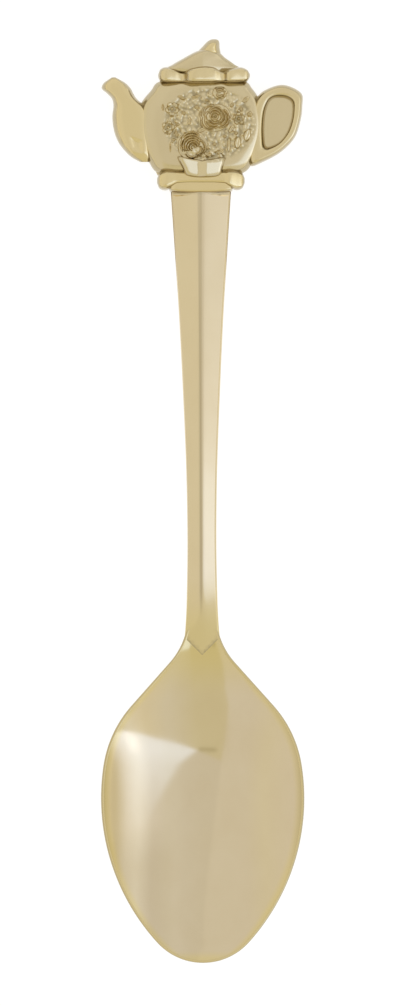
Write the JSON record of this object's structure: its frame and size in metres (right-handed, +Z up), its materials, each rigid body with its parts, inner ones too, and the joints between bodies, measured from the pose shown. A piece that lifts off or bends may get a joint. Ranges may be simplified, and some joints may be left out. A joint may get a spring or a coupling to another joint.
{
  "type": "souvenir spoon",
  "caption": "Pale gold souvenir teaspoon with an egg-shaped bowl, a ridged tapering stem and a flat-backed teapot finial with roses in relief.",
  "frame": {"origin": "on the surface that the spoon lies on, under the middle of its length and width", "axes": "+Y along the spoon from the bowl's tip to the finial, +Z up out of the bowl, +X towards the teapot's handle"},
  "size_m": [0.0264, 0.12, 0.0081],
  "materials": {
    "polished_bowl": "polished pale gold plate",
    "polished_stem": "polished pale gold plate",
    "cast_finial": "polished pale gold plate over a casting",
    "cast_flowers": "cast relief, pale gold plate",
    "solder": "plated solder seam"
  },
  "bodies": {
    "root": {"bowl": "polished_bowl", "stem": "polished_stem", "bowl_solder": "solder", "finial_solder": "solder", "back_plate": "cast_finial", "pot_body": "cast_finial", "spout": "cast_finial", "pot_handle": "cast_finial", "lid": "cast_finial", "lid_brim": "cast_finial", "lid_knob": "cast_finial", "pot_foot": "cast_finial", "foot_collar": "cast_finial", "flower_cup": "cast_finial", "left_rose": "cast_flowers", "right_rose": "cast_flowers", "upper_rose": "cast_flowers", "side_rose": "cast_flowers", "upper_left_rose": "cast_flowers", "lower_left_rose": "cast_flowers", "rose_leaves": "cast_flowers", "rose_buds": "cast_flowers"}
  },
  "joints": []
}
